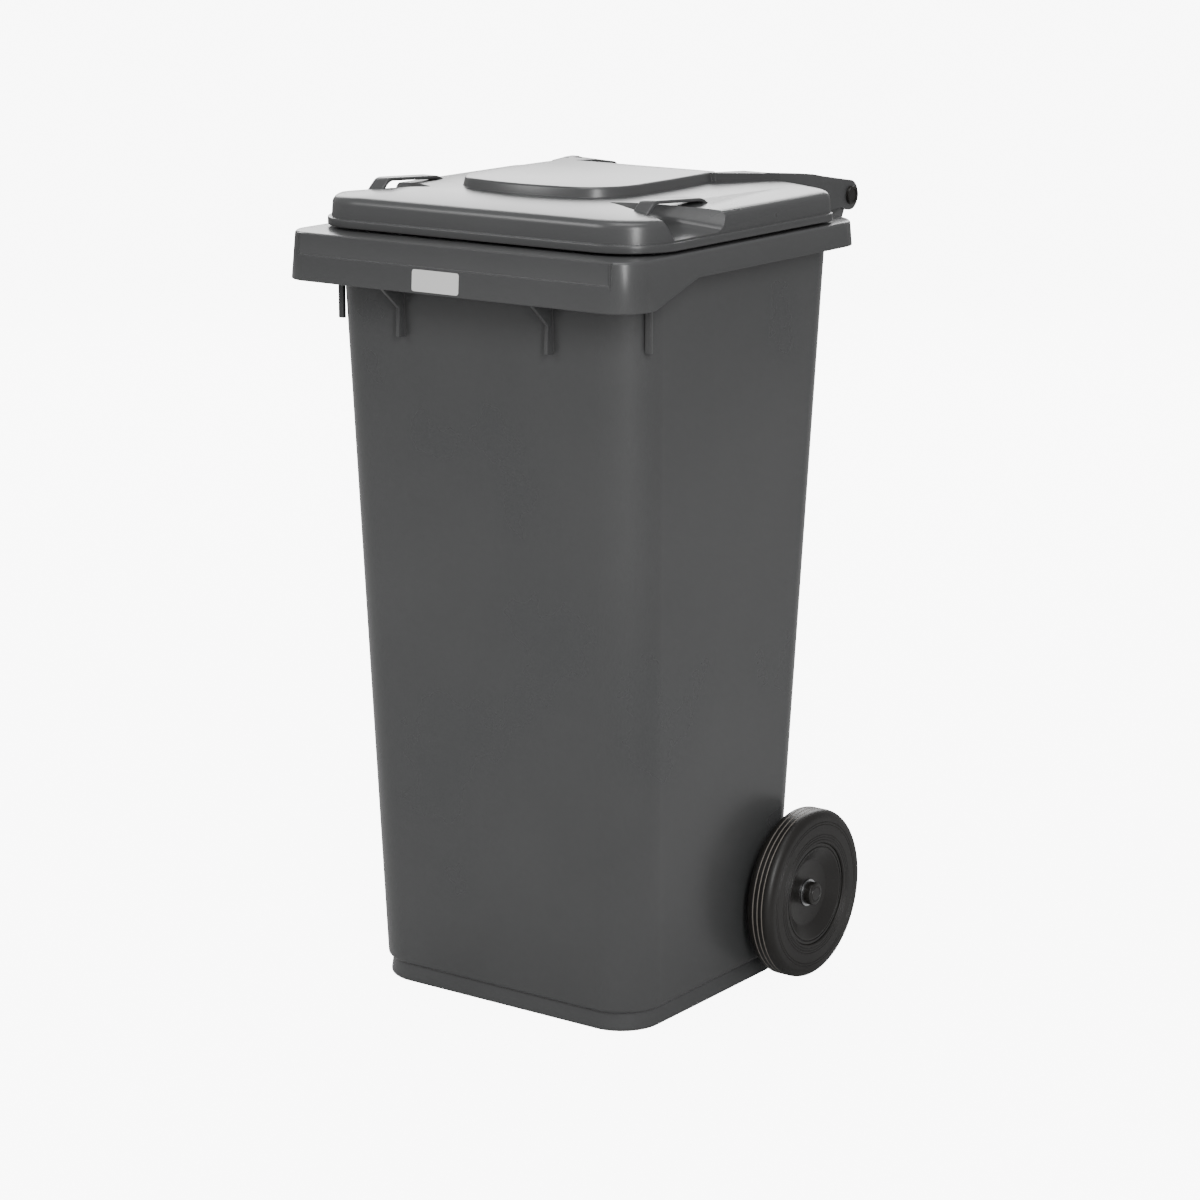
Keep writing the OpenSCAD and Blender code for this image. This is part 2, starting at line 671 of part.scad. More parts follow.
body();
lid();
hinge_sleeve(-1);  // hinge_sleeve_left
hinge_sleeve(1);  // hinge_sleeve_right
hinge_plug(-1);  // hinge_plug_left
hinge_plug(1);  // hinge_plug_right
axle();
axle_spacer(-1);  // axle_spacer_left
axle_spacer(1);  // axle_spacer_right
wheel_hub(-1);  // wheel_hub_left
wheel_hub(1);  // wheel_hub_right
tyre(-1);  // tyre_left
tyre(1);  // tyre_right
axle_washer(-1);  // axle_washer_left
axle_washer(1);  // axle_washer_right
push_nut(-1);  // push_nut_left
push_nut(1);  // push_nut_right
axle_cap(-1);  // axle_cap_left
axle_cap(1);  // axle_cap_right
label();
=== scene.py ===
from math import atan2, cos, pi, radians, sin, sqrt

import bpy
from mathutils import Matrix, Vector


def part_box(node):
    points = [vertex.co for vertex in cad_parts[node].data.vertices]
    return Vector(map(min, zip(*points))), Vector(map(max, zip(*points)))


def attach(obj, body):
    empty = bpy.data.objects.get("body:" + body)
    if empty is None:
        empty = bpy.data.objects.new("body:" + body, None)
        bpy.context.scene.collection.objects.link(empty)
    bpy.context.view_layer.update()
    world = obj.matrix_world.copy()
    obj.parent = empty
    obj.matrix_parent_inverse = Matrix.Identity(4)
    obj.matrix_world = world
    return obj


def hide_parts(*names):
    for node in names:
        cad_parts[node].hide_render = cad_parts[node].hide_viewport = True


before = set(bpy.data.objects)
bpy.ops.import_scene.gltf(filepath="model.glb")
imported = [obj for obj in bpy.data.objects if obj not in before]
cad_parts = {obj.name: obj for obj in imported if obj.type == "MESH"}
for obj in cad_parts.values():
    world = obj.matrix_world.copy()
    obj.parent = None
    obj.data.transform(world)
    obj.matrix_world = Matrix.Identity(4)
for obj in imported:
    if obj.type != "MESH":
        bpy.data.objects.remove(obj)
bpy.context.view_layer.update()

# ---- Studio ----
# A pale seamless floor under soft white light, and a long lens at about chest height that looks
# down a little on the bin's front right corner. One broad soft light stands behind the bin and
# makes its lid shine, and a narrow one on the right draws the side wall's gloss.

camera_place = Vector((2.272, -3.151, 1.380))
camera_turn = radians(35.76)
camera_dip = radians(13.58)

bpy.ops.object.select_all(action="DESELECT")
bpy.ops.object.camera_add(location=camera_place)
camera = bpy.context.object
camera.name = "camera"
camera.rotation_euler = (pi / 2 - camera_dip, 0, camera_turn)
camera.data.lens = 102.85
camera.data.sensor_width = 36
bpy.context.scene.camera = camera

bpy.ops.mesh.primitive_plane_add(size=60)
floor = bpy.context.object
floor.name = "studio_floor"
floor_paint = bpy.data.materials.new("floor_paint")
floor_paint.use_nodes = True
floor_shader = floor_paint.node_tree.nodes["Principled BSDF"]
floor_shader.inputs["Base Color"].default_value = (0.55, 0.55, 0.55, 1)
floor_shader.inputs["Roughness"].default_value = 0.8
floor_shader.inputs["Specular IOR Level"].default_value = 0.2
floor.data.materials.append(floor_paint)
floor_nodes = floor_paint.node_tree
seen_by = floor_nodes.nodes.new("ShaderNodeLightPath")
glow = floor_nodes.nodes.new("ShaderNodeMath")
glow.operation = "MULTIPLY"
glow.inputs[1].default_value = 8.5
floor_shader.inputs["Emission Color"].default_value = (1, 1, 1, 1)
floor_nodes.links.new(seen_by.outputs["Is Camera Ray"], glow.inputs[0])
floor_nodes.links.new(glow.outputs["Value"], floor_shader.inputs["Emission Strength"])

world = bpy.context.scene.world or bpy.data.worlds.new("studio_air")
bpy.context.scene.world = world
world.use_nodes = True
world.node_tree.nodes["Background"].inputs["Color"].default_value = (1, 1, 1, 1)
backdrop = world.node_tree
brightness = backdrop.nodes.new("ShaderNodeMapRange")
brightness.inputs["To Min"].default_value = 0.42
brightness.inputs["To Max"].default_value = 9.0
view_ray = backdrop.nodes.new("ShaderNodeLightPath")
backdrop.links.new(view_ray.outputs["Is Camera Ray"], brightness.inputs["Value"])
backdrop.links.new(brightness.outputs["Result"], backdrop.nodes["Background"].inputs["Strength"])


def soft_light(name, place, aim, width, height, watts):
    """A rectangular soft light that looks at a point and isn't seen itself."""
    bpy.ops.object.light_add(type="AREA", location=place)
    light = bpy.context.object
    light.name = name
    light.data.shape = "RECTANGLE"
    light.data.size = width
    light.data.size_y = height
    light.data.energy = watts
    light.rotation_euler = (Vector(aim) - Vector(place)).to_track_quat("-Z", "Y").to_euler()
    light.visible_camera = False


soft_light("back_light", (-2.6, 3.9, 2.5), (0, 0, 0.9), 4.5, 2.0, 170)
soft_light("key_light", (-2.4, -3.4, 3.4), (0, 0, 0.4), 1.6, 1.6, 60)
soft_light("corner_light", (2.9, -2.5, 2.2), (0, 0, 0.45), 0.5, 2.6, 100)
soft_light("top_light", (0.3, -0.6, 3.6), (0, 0, 0.9), 1.5, 1.5, 30)

# ---- Tub ----
# The bin's tub is one injection moulding of dark grey polyethylene, 4 mm thick. It tapers to the
# floor, stands on an inset foot band, and its rear steps forward low down to clear the axle. A
# comb rim with a flared skirt runs round its mouth, and two lugs behind it carry a round handle bar.

body_low, body_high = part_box("body")
lid_low, lid_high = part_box("lid")
axle_low, axle_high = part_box("axle")
sleeve_low, sleeve_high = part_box("hinge_sleeve_right")
front = body_low[1]
rim_half = 0.240
rim_rear = front + 0.479
flare = 0.0035
skirt_deep = 0.054
skirt_shallow = 0.028
wall = 0.004
skirt_wall = 0.0035
foot_h = 0.022
foot_inset = 0.0045
base = (0.189, front + 0.0815, front + 0.3985)
top = (0.214, front + 0.047, front + 0.4515)
mouth_rear = top[2] - 0.036
low_rear = base[2] - 0.015
axle_y = (axle_low[1] + axle_high[1]) / 2
axle_z = (axle_low[2] + axle_high[2]) / 2
alcove_front = axle_y - 0.027
alcove_top = axle_z + 0.070
alcove_half = 0.155
hinge_y = (sleeve_low[1] + sleeve_high[1]) / 2
hinge_z = (sleeve_low[2] + sleeve_high[2]) / 2
rim_top = hinge_z - 0.016
lug_outer = 0.165
lug_inner = 0.137
bar_r = 0.0135


def only(piece):
    """Chooses this piece and nothing else."""
    bpy.ops.object.select_all(action="DESELECT")
    bpy.context.view_layer.objects.active = piece
    piece.select_set(True)


def block(name, low, high):
    """A box between two corners."""
    bpy.ops.object.select_all(action="DESELECT")
    bpy.ops.mesh.primitive_cube_add(size=1, location=[(a + b) / 2 for a, b in zip(low, high)])
    piece = bpy.context.object
    piece.name = name
    piece.scale = [b - a for a, b in zip(low, high)]
    bpy.ops.object.transform_apply(location=True, rotation=True, scale=True)
    return piece


def open_faces(piece, test):
    """Opens a piece for editing with the faces chosen whose centre and normal pass the test."""
    only(piece)
    bpy.ops.object.mode_set(mode="EDIT")
    bpy.ops.mesh.select_mode(type="FACE")
    bpy.ops.mesh.select_all(action="DESELECT")
    bpy.ops.object.mode_set(mode="OBJECT")
    for face in piece.data.polygons:
        face.select = test(face.center, face.normal)
    bpy.ops.object.mode_set(mode="EDIT")


def open_edges(piece, test):
    """Opens a piece for editing with the edges chosen whose middle and direction pass the test."""
    only(piece)
    bpy.ops.object.mode_set(mode="EDIT")
    bpy.ops.mesh.select_mode(type="EDGE")
    bpy.ops.mesh.select_all(action="DESELECT")
    bpy.ops.object.mode_set(mode="OBJECT")
    points = piece.data.vertices
    for edge in piece.data.edges:
        a, b = (points[i].co for i in edge.vertices)
        edge.select = test((a + b) / 2, (b - a).normalized())
    bpy.ops.object.mode_set(mode="EDIT")


def round_edges(piece, radius, steps, test):
    """Rounds the edges that pass the test."""
    open_edges(piece, test)
    bpy.ops.mesh.bevel(offset=radius, segments=steps, profile=0.5, affect="EDGES")
    bpy.ops.object.mode_set(mode="OBJECT")


def upright(middle, way):
    return abs(way.z) > 0.9


def tapered(name, z1, low_rect, z2, high_rect, front_r, rear_r):
    """A block with rounded upright corners that goes from one rectangle to another.
    A rectangle is its half width, its front and its rear."""
    half, front_y, rear_y = low_rect
    piece = block(name, (-half, front_y, z1), (half, rear_y, z2))
    open_faces(piece, lambda middle, way: way.z > 0.9)
    longer = (high_rect[2] - high_rect[1]) / (rear_y - front_y)
    bpy.ops.transform.resize(value=(high_rect[0] / half, longer, 1), center_override=(0, front_y, z2))
    bpy.ops.transform.translate(value=(0, high_rect[1] - front_y, 0))
    bpy.ops.object.mode_set(mode="OBJECT")
    between = (front_y + rear_y) / 2
    round_edges(piece, front_r, 14, lambda middle, way: upright(middle, way) and middle.y < between)
    round_edges(piece, rear_r, 14, lambda middle, way: upright(middle, way) and middle.y > between)
    return piece


def plate(name, outline, start, end, along="X"):
    """A flat plate cut to an outline, of (y, z) points along X or (x, y) points along Z."""
    bpy.ops.object.select_all(action="DESELECT")
    bpy.ops.mesh.primitive_circle_add(vertices=len(outline), radius=1, fill_type="NGON")
    piece = bpy.context.object
    piece.name = name
    for point, (a, b) in zip(piece.data.vertices, outline):
        point.co = (start, a, b) if along == "X" else (a, b, start)
    move = (end - start, 0, 0) if along == "X" else (0, 0, end - start)
    bpy.ops.object.mode_set(mode="EDIT")
    bpy.ops.mesh.select_all(action="SELECT")
    bpy.ops.mesh.extrude_region_move(TRANSFORM_OT_translate={"value": move})
    bpy.ops.mesh.select_all(action="SELECT")
    bpy.ops.mesh.normals_make_consistent(inside=False)
    bpy.ops.object.mode_set(mode="OBJECT")
    return piece


def rod(name, x1, x2, radius, y, z, sides=64):
    """A round bar along X."""
    bpy.ops.object.select_all(action="DESELECT")
    bpy.ops.mesh.primitive_cylinder_add(vertices=sides, radius=radius, depth=abs(x2 - x1),
                                        location=((x1 + x2) / 2, y, z), rotation=(0, pi / 2, 0))
    piece = bpy.context.object
    piece.name = name
    bpy.ops.object.transform_apply(location=True, rotation=True, scale=True)
    return piece


def boolean(piece, other, how):
    """Joins, cuts or keeps the overlap of two solids, and uses the second one up."""
    change = piece.modifiers.new("change", "BOOLEAN")
    change.operation = how
    change.solver = "MANIFOLD"
    change.object = other
    only(piece)
    bpy.ops.object.modifier_apply(modifier=change.name)
    bpy.data.objects.remove(other)


def weld_on(piece, *others):
    for other in others:
        boolean(piece, other, "UNION")


def cut_away(piece, *others):
    for other in others:
        boolean(piece, other, "DIFFERENCE")


def inset_rect(rect, by):
    """A rectangle set in on all four sides."""
    return rect[0] - by, rect[1] + by, rect[2] - by


def finish_piece(piece, name, body, slot, material, *nodes):
    """Shades a finished piece, gives it its material and puts it on its body."""
    piece.name = name
    only(piece)
    bpy.ops.object.shade_smooth_by_angle(angle=radians(32))
    piece.data.materials.clear()
    piece.data.materials.append(material)
    if nodes:
        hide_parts(*nodes)
    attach(piece, body)


def moulded_plastic(name, colour, worn, roughness, grain, edge):
    """Moulded polyethylene: a slightly cloudy colour, a fine orange-peel skin and softened edges."""
    material = bpy.data.materials.new(name)
    material.use_nodes = True
    nodes = material.node_tree.nodes
    links = material.node_tree.links
    shader = nodes["Principled BSDF"]
    place = nodes.new("ShaderNodeTexCoord")
    cloud = nodes.new("ShaderNodeTexNoise")
    cloud.inputs["Scale"].default_value = 4
    cloud.inputs["Detail"].default_value = 5
    tint = nodes.new("ShaderNodeValToRGB")
    tint.color_ramp.interpolation = "EASE"
    tint.color_ramp.elements[0].position = 0.2
    tint.color_ramp.elements[0].color = (*colour, 1)
    tint.color_ramp.elements[1].position = 0.8
    tint.color_ramp.elements[1].color = (*worn, 1)
    skin = nodes.new("ShaderNodeTexNoise")
    skin.inputs["Scale"].default_value = 420
    skin.inputs["Detail"].default_value = 3
    polish = nodes.new("ShaderNodeMapRange")
    polish.inputs["To Min"].default_value = roughness - 0.05
    polish.inputs["To Max"].default_value = roughness + 0.08
    bump = nodes.new("ShaderNodeBump")
    bump.inputs["Strength"].default_value = grain
    bump.inputs["Distance"].default_value = 0.0004
    soft = nodes.new("ShaderNodeBevel")
    soft.samples = 4
    soft.inputs["Radius"].default_value = edge
    links.new(place.outputs["Object"], cloud.inputs["Vector"])
    links.new(place.outputs["Object"], skin.inputs["Vector"])
    links.new(cloud.outputs["Fac"], tint.inputs["Fac"])
    links.new(tint.outputs["Color"], shader.inputs["Base Color"])
    links.new(cloud.outputs["Fac"], polish.inputs["Value"])
    links.new(polish.outputs["Result"], shader.inputs["Roughness"])
    links.new(skin.outputs["Fac"], bump.inputs["Height"])
    links.new(soft.outputs["Normal"], bump.inputs["Normal"])
    links.new(bump.outputs["Normal"], shader.inputs["Normal"])
    return material


grey_plastic = moulded_plastic("grey_plastic", (0.060, 0.061, 0.062), (0.072, 0.073, 0.074),
                               0.27, 0.10, 0.0012)


def over(height, lower, upper, bottom, ceiling):
    """The rectangle between two others at a height."""
    share = (height - bottom) / (ceiling - bottom)
    return tuple(a + (b - a) * share for a, b in zip(lower, upper))


# The tub's outside stands on its foot, which is set in all round.
above_foot = over(foot_h, base, top, 0, rim_top)
tub = tapered("tub", foot_h, above_foot, rim_top - 0.002, top, 0.054, 0.040)
round_edges(tub, 0.0055, 4, lambda middle, way: middle.z < foot_h + 1e-4)
foot = tapered("foot", 0, inset_rect(base, 0.0015), foot_h + 0.006, inset_rect(base, foot_inset),
               0.052, 0.038)
round_edges(foot, 0.005, 4, lambda middle, way: middle.z < 1e-4)
weld_on(tub, foot)

# The hollow inside, which steps up over the axle.
hollow = tapered("hollow", foot_h + wall, inset_rect(above_foot, wall), rim_top + 0.001,
                 inset_rect(top, wall), 0.050, 0.036)
well = tapered("well", 0.006, inset_rect(base, foot_inset + wall), foot_h + 2 * wall,
               inset_rect(base, foot_inset + wall), 0.0455, 0.0315)
weld_on(hollow, well)
cut_away(hollow, block("step", (-0.3, alcove_front - wall, -0.01), (0.3, 0.3, alcove_top + wall)))
cut_away(tub, hollow)
cut_away(tub, block("alcove", (-alcove_half, alcove_front, -0.01), (alcove_half, 0.3, alcove_top)))
cut_away(tub, block("rear_step", (-0.3, low_rear, -0.01), (0.3, 0.3, alcove_top)))

# The rim is a flat plate with a flared skirt, deep across the front and shallow elsewhere.
lower_rim = (rim_half, front, rim_rear)
upper_rim = (rim_half - flare, front + flare, rim_rear - flare)
rim = tapered("rim", rim_top - skirt_deep, lower_rim, rim_top, upper_rim, 0.037, 0.052)
round_edges(rim, 0.0035, 4, lambda middle, way: middle.z > rim_top - 1e-4)
round_edges(rim, 0.0012, 2, lambda middle, way: middle.z < rim_top - skirt_deep + 1e-4)
inside_rim = tapered("inside_rim", rim_top - skirt_deep - 0.001, inset_rect(lower_rim, skirt_wall),
                     rim_top - skirt_wall, inset_rect(upper_rim, skirt_wall), 0.0335, 0.0485)
cut_away(rim, inside_rim)
slope = front + 0.045
below_rim = rim_top - skirt_deep - 0.01
skirt_line = [(slope, below_rim), (slope, rim_top - skirt_deep - 0.0005),
              (slope + 0.085, rim_top - skirt_shallow), (0.3, rim_top - skirt_shallow), (0.3, below_rim)]
cut_away(rim, plate("skirt_cut", skirt_line, -0.3, 0.3))

# The sunk band across the upper front, with a face behind it.
band_end = rim_half - 0.0285
band_y = front + 0.0039
band_low = rim_top - 0.025
band_cut = block("band_cut", (-band_end, front - 0.01, band_low), (band_end, band_y, rim_top + 0.01))
round_edges(band_cut, 0.0008, 2, lambda middle, way: abs(way.x) > 0.9
            and middle.y > band_y - 1e-4 and middle.z < rim_top)
weld_on(rim, block("band_back", (-band_end - 0.002, band_y - 0.001, band_low - skirt_wall),
                   (band_end + 0.002, band_y + skirt_wall, rim_top - 0.001)))
cut_away(rim, band_cut)
mouth_rect = (top[0] - wall, top[1] + wall, mouth_rear)
mouth = tapered("mouth", rim_top - 0.03, mouth_rect, rim_top + 0.03, mouth_rect, 0.050, 0.036)
cut_away(rim, mouth)
weld_on(tub, rim)


def tub_front_at(z):
    return over(z, base, top, 0, rim_top)[1]


def tub_side_at(z):
    return over(z, base, top, 0, rim_top)[0]


# Two ribs behind the front skirt and one under each side stiffen the comb rim.
for side in (-1, 1):
    rib_low = rim_top - 0.113
    start = tub_front_at(rib_low)
    front_rib = plate("front_rib", [(start + 0.003, rib_low), (start - 0.011, rib_low + 0.001),
                                    (start - 0.0118, rib_low + 0.003), (start - 0.0105, rim_top - 0.080),
                                    (front + 0.0062, rim_top - skirt_deep + 0.004),
                                    (front + 0.0062, rim_top - 0.002),
                                    (tub_front_at(rim_top) + 0.003, rim_top - 0.002)],
                      side * 0.102 - 0.0022, side * 0.102 + 0.0022)
    round_edges(front_rib, 0.0009, 2, lambda middle, way: middle.y < start - 0.009 and abs(way.x) < 0.5)
    weld_on(tub, front_rib)
    rib_low = rim_top - 0.105
    start = tub_side_at(rib_low)
    rib_y = front + 0.0765
    side_rib = plate("side_rib", [(rib_y - 0.0022, rib_low), (rib_y + 0.0022, rib_low),
                                  (rib_y + 0.0022, rim_top - 0.002), (rib_y - 0.0022, rim_top - 0.002)],
                     side * (start - 0.003), side * (start + 0.0045))
    round_edges(side_rib, 0.0009, 2, lambda middle, way: abs(middle.x) > start + 0.004)
    weld_on(tub, side_rib)

# A lug on each side behind the rim, with the handle bar between them.
for side in (-1, 1):
    lug_line = [(rim_rear - 0.020, rim_top - skirt_wall), (rim_rear - 0.020, rim_top - 0.016),
                (rim_rear - 0.003, rim_top - skirt_shallow),
                (hinge_y - 0.008, rim_top - skirt_shallow + 0.004)]
    for step in range(9):
        turn = radians(-50 + step * 180 / 8)
        lug_line.append((hinge_y + bar_r * cos(turn), hinge_z + bar_r * sin(turn)))
    lug_line += [(hinge_y - bar_r, hinge_z + 0.005), (rim_rear - 0.004, rim_top - 0.0005)]
    lug = plate("lug", lug_line, side * lug_inner, side * lug_outer)
    round_edges(lug, 0.0012, 2, lambda middle, way: abs(way.x) < 0.5 and middle.y > rim_rear + 0.004)
    weld_on(tub, lug)
bar = rod("bar", -lug_outer + 0.014, lug_outer - 0.014, bar_r, hinge_y, hinge_z)
weld_on(tub, bar)

# A boss in each lower rear corner carries the axle, and webs join it to the alcove's roof.
for side in (-1, 1):
    carrier = rod("carrier", side * (alcove_half - 0.002), side * 0.194, 0.020, axle_y, axle_z)
    round_edges(carrier, 0.0012, 2, lambda middle, way: abs(middle.x) > 0.1935)
    weld_on(tub, carrier)
    for x in (alcove_half - 0.002, 0.182):
        weld_on(tub, plate("web", [(alcove_front - 0.002, axle_z - 0.020), (axle_y, axle_z - 0.018),
                                   (axle_y + 0.018, axle_z), (axle_y + 0.006, alcove_top + 0.003),
                                   (alcove_front - 0.002, alcove_top + 0.003)], side * x, side * (x + 0.005)))
for side in (-1, 1):
    cut_away(tub, rod("axle_bore", side * (alcove_half - 0.006), side * 0.197, 0.01005, axle_y, axle_z))
    cut_away(tub, rod("sleeve_bore", side * (lug_outer - 0.024), side * (lug_outer + 0.002), 0.0085,
                      hinge_y, hinge_z))
finish_piece(tub, "tub_moulding", "bin", "grey_plastic", grey_plastic, "body")

# ---- Lid ----
# The lid is a second moulding of the same grey plastic, crowned, with a flange round its edge, a
# raised panel, two arms that reach back to the hinge, and a strap grip over a scooped pocket on
# each side. It hangs on two sleeves that pass through the eyes of its arms.

lid_base = rim_top + 0.003
lid_half = lid_high[0]
lid_front = lid_low[1]
lid_rear = rim_rear - 0.0565
flange_h = 0.009
lid_step = 0.003
lid_wall = 0.0035
edge_z = rim_top + 0.035
crown_z = rim_top + 0.045
panel_z = rim_top + 0.056
panel_half = 0.116
panel_side_bow = 0.005
panel_end = panel_half - panel_side_bow
panel_corner = lid_front + 0.110
panel_bow = 0.024
panel_rear = panel_corner + 0.209
lid_front_r = 0.064
lid_rear_r = 0.020
eye_outer = 0.175
eye_inner = 0.1665
eye_r = 0.0175


def lid_cover(name, inset, rounding):
    """The lid's walls and crown as a solid, or the space inside it when set in."""
    low_z = lid_base + (flange_h - 0.001 if inset == 0 else -0.001)
    low_rect = (lid_half - lid_step - inset, lid_front + lid_step + inset, lid_rear - inset)
    high_rect = (lid_half - 0.004 - inset, lid_front + 0.005 + inset, lid_rear - 0.001 - inset)
    piece = tapered(name, low_z, low_rect, edge_z - inset, high_rect,
                    lid_front_r - inset, lid_rear_r - inset)
    crown = (0.122 - inset, panel_corner - panel_bow + inset, lid_rear - 0.008 - inset)
    done = high_rect
    risen = edge_z - inset
    # The crown rises steeply at first and flattens towards the panel.
    for share, rise in ((0.12, 0.22), (0.40, 0.55), (0.70, 0.84), (1.0, 1.0)):
        goal = tuple(a + (b - a) * share for a, b in zip(high_rect, crown))
        open_faces(piece, lambda middle, way: way.z > 0.9 and middle.z > risen - 1e-5)
        bpy.ops.mesh.extrude_region_move(TRANSFORM_OT_translate={"value": (0, 0, 0)})
        shorter = (goal[2] - goal[1]) / (done[2] - done[1])
        bpy.ops.transform.resize(value=(goal[0] / done[0], shorter, 1), center_override=(0, done[1], risen))
        height = edge_z + (crown_z - edge_z) * rise - inset
        bpy.ops.transform.translate(value=(0, goal[1] - done[1], height - risen))
        bpy.ops.object.mode_set(mode="OBJECT")
        risen = height
        done = goal
    if rounding:
        round_edges(piece, rounding, 4,
                    lambda middle, way: abs(middle.z - edge_z + inset) < 1e-4 and abs(way.z) < 0.1)
    return piece


def panel_line(inset, corner_r):
    """The panel's outline: bowed sides, a bowed front and rounded front corners."""
    half = panel_half - inset
    front_r = (panel_half ** 2 + panel_bow ** 2) / (2 * panel_bow)
    front_y = panel_corner - panel_bow + inset
    long = (panel_rear - panel_corner) / 2
    side_r = (long ** 2 + panel_side_bow ** 2) / (2 * panel_side_bow)
    middle = panel_corner + long
    arc = []
    for step in range(-40, 41):
        x = half * step / 40
        arc_y = front_y + front_r - sqrt(front_r ** 2 - x ** 2)
        into = max(0, abs(x) - (half - corner_r))
        arc.append((x, arc_y + corner_r - sqrt(max(0, corner_r ** 2 - into ** 2))))
    right = []
    for step in range(1, 9):
        y = arc[-1][1] + (panel_rear - inset - arc[-1][1]) * step / 8
        right.append((half - side_r + sqrt(side_r ** 2 - (y - middle) ** 2), y))
    return arc + right + [(-x, y) for x, y in reversed(right)]


shoulder_y = panel_rear - 0.012
kink_y = hinge_y - 0.074


def arm_x(y):
    """How far out an arm's outer face is."""
    return panel_end + 0.003 + (y - shoulder_y) * (eye_outer - panel_end - 0.006) / (kink_y - shoulder_y)


def arm_profile(start, low_z):
    """Side outline of an arm, with its ridge falling back to the eye."""
    rise = (panel_z - 0.0008 - rim_top - 0.0491) / (kink_y - 0.012 - shoulder_y)
    line = [(start, low_z), (start, panel_z - 0.0008 - rise * (start - shoulder_y)),
            (kink_y - 0.012, rim_top + 0.0481), (kink_y, rim_top + 0.0467),
            (kink_y + 0.012, rim_top + 0.0440)]
    for turn in (80, 60, 40, 20, 0, -20, -40, -60, -80):
        line.append((hinge_y + eye_r * cos(radians(turn)), hinge_z + eye_r * sin(radians(turn))))
    return line + [(hinge_y - eye_r, low_z)]


def shoulder(side, inset):
    """The raised shoulder that leads from the panel's rear corner to an arm."""
    low_z = rim_top + 0.020
    start = shoulder_y + inset
    piece = plate("shoulder", [(start, low_z), (start, panel_z - 0.0008 - inset),
                               (kink_y - 0.012, rim_top + 0.0481 - inset),
                               (kink_y - 0.012, low_z)], -0.2, 0.2)
    end = lid_rear - 0.0008 - inset
    inner = panel_end - 0.0085 + inset
    plan = [(inner, shoulder_y - 0.001), (arm_x(shoulder_y) - 1.3 * inset, shoulder_y - 0.001),
            (arm_x(end) - 1.3 * inset, end), (inner, end)]
    boolean(piece, plate("plan", [(side * x, y) for x, y in plan], 0.8, 1.0, "Z"), "INTERSECT")
    return piece


def arm(side):
    """The plate behind the lid that bends out to the hinge and ends in an eye."""
    start = lid_rear - 0.012
    piece = plate("arm", arm_profile(start, lid_base), -0.2, 0.2)
    plan = [(arm_x(start), start), (eye_outer - 0.006, kink_y - 0.006), (eye_outer - 0.003, kink_y),
            (eye_outer - 0.0007, kink_y + 0.006), (eye_outer, kink_y + 0.013), (eye_outer, hinge_y + 0.03),
            (eye_inner, hinge_y + 0.03), (eye_inner, kink_y + 0.014), (eye_inner - 0.003, kink_y + 0.004),
            (arm_x(start) - 0.0085, start)]
    boolean(piece, plate("plan", [(side * x, y) for x, y in plan], 0.8, 1.0, "Z"), "INTERSECT")
    round_edges(piece, 0.0014, 3, lambda middle, way: abs(way.x) < 0.75 and middle.z > hinge_z - 0.002
                and middle.y > lid_rear + 0.004 and abs(way.z) < 0.99)
    return piece


pocket_front = lid_front + 0.044
pocket_rear = pocket_front + 0.120
pocket_floor = rim_top + 0.013
pocket_tip_z = rim_top + 0.035
pocket_tip_y = pocket_front + 0.046
pocket_tip_x = lid_half - 0.108


def pocket(side, grow):
    """The scoop in the lid's side, whose floor rises inwards to a tip; grown, it is the scoop's wall."""
    top_z = panel_z + 0.004
    floor_z = pocket_floor - grow
    outline = [(pocket_front - grow, top_z), (pocket_front - grow, edge_z),
               (pocket_front + 0.016 - grow, floor_z),
               (pocket_rear - 0.020 + grow, floor_z), (pocket_rear - 0.012 + grow, floor_z + 0.0025),
               (pocket_rear - 0.006 + grow, floor_z + 0.0070), (pocket_rear + grow, edge_z),
               (pocket_rear + grow, top_z)]
    piece = plate("pocket", outline, side * (lid_half + 0.001), side * (lid_half + 0.0015))
    far = lid_half + 0.0012
    tip_share = (top_z - pocket_tip_z + grow) / (top_z - floor_z)
    open_faces(piece, lambda middle, way: way.x * side < -0.9 and abs(middle.x) < far)
    bpy.ops.transform.resize(value=(1, 0.02, tip_share), center_override=(0, pocket_tip_y, top_z))
    bpy.ops.transform.translate(value=(side * (pocket_tip_x - 1.5 * grow - lid_half - 0.001), 0, 0))
    bpy.ops.object.mode_set(mode="OBJECT")
    return piece


def lid_body(name):
    """The lid's outside without its panel and arms: the flange and the crowned cover on it."""
    piece = tapered(name, lid_base, (lid_half, lid_front, lid_rear), lid_base + flange_h,
                    (lid_half, lid_front, lid_rear), lid_front_r, lid_rear_r)
    round_edges(piece, 0.0012, 3, lambda middle, way: abs(way.z) < 0.1)
    weld_on(piece, lid_cover("cover", 0, 0.007))
    return piece


